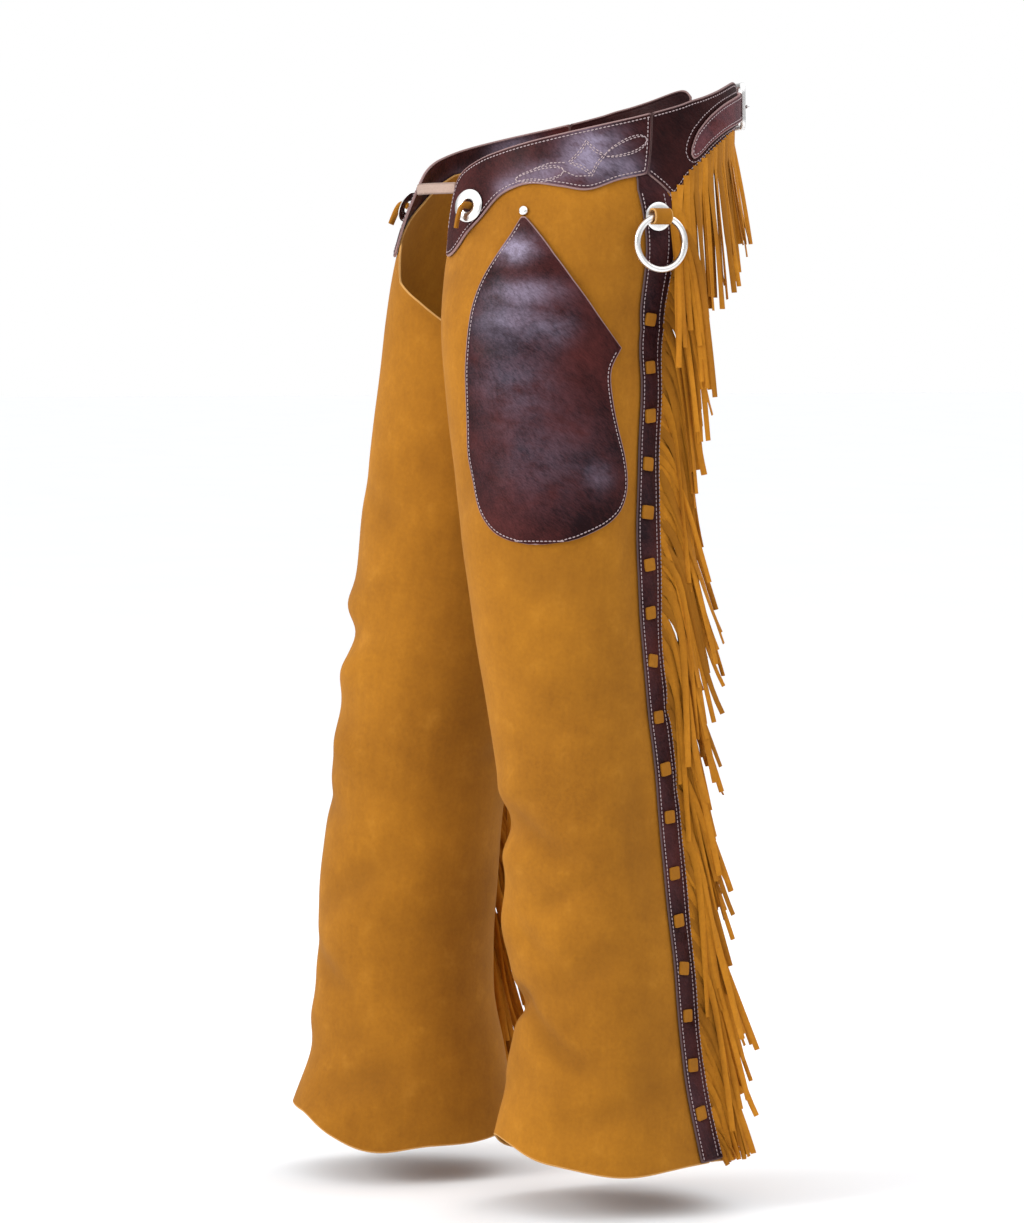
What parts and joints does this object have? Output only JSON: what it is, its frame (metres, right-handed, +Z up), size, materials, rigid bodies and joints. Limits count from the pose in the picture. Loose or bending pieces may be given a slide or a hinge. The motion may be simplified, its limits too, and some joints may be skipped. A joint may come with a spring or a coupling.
{
  "type": "fringed leather chaps",
  "caption": "Worn shotgun-style suede chaps with a scalloped leather yoke, thigh pockets, laced side strips, rings and long outseam fringe.",
  "frame": {"origin": "centre of the waist opening, at the mean height of the yoke, where the wearer's waist holds the chaps up", "axes": "+Z up along the wearer, -Y towards the wearer's front, +X towards the wearer's left"},
  "size_m": [0.399, 0.4096, 1.0104],
  "materials": {
    "suede": "napped mustard suede",
    "fringe_suede": "cut suede strands",
    "yoke_leather": "polished dark burgundy top grain",
    "strap_leather": "polished burgundy strap leather",
    "lace_leather": "dull flesh-side lace",
    "nickel": "bright nickel plate"
  },
  "bodies": {
    "chaps": {"leg_left": "suede", "leg_right": "suede", "yoke_front_left": "yoke_leather", "yoke_front_right": "yoke_leather", "yoke_back_left": "yoke_leather", "yoke_back_right": "yoke_leather", "pocket_left": "yoke_leather", "pocket_right": "yoke_leather", "pocket_stud_left": "nickel", "pocket_stud_right": "nickel", "side_strip_left": "yoke_leather", "side_strip_right": "yoke_leather", "fringe_leg_left": "fringe_suede", "fringe_leg_right": "fringe_suede", "fringe_hip_left": "fringe_suede", "fringe_hip_right": "fringe_suede", "side_concho_left": "nickel", "side_concho_right": "nickel", "ring_loop_left": "suede", "ring_loop_right": "suede", "concho_left": "nickel", "concho_right": "nickel", "lace_knot_left": "suede", "lace_knot_right": "suede", "front_lace": "lace_leather", "billet_left": "strap_leather", "buckle_strap_right": "strap_leather", "buckle_frame": "nickel", "buckle_tongue": "nickel"},
    "left_ring": {"ring_left": "nickel"},
    "right_ring": {"ring_right": "nickel"}
  },
  "joints": [
    {"name": "left_ring_swing", "type": "hinge", "parent": "chaps", "child": "left_ring", "pos_m": [0.18301, 0.02501, -0.083], "axis": [0.2183, -0.9759, 0], "range_deg": [0, 120]},
    {"name": "right_ring_swing", "type": "hinge", "parent": "chaps", "child": "right_ring", "pos_m": [-0.18301, 0.00625, -0.083], "axis": [0.2183, 0.9759, 0], "range_deg": [0, 120]}
  ]
}
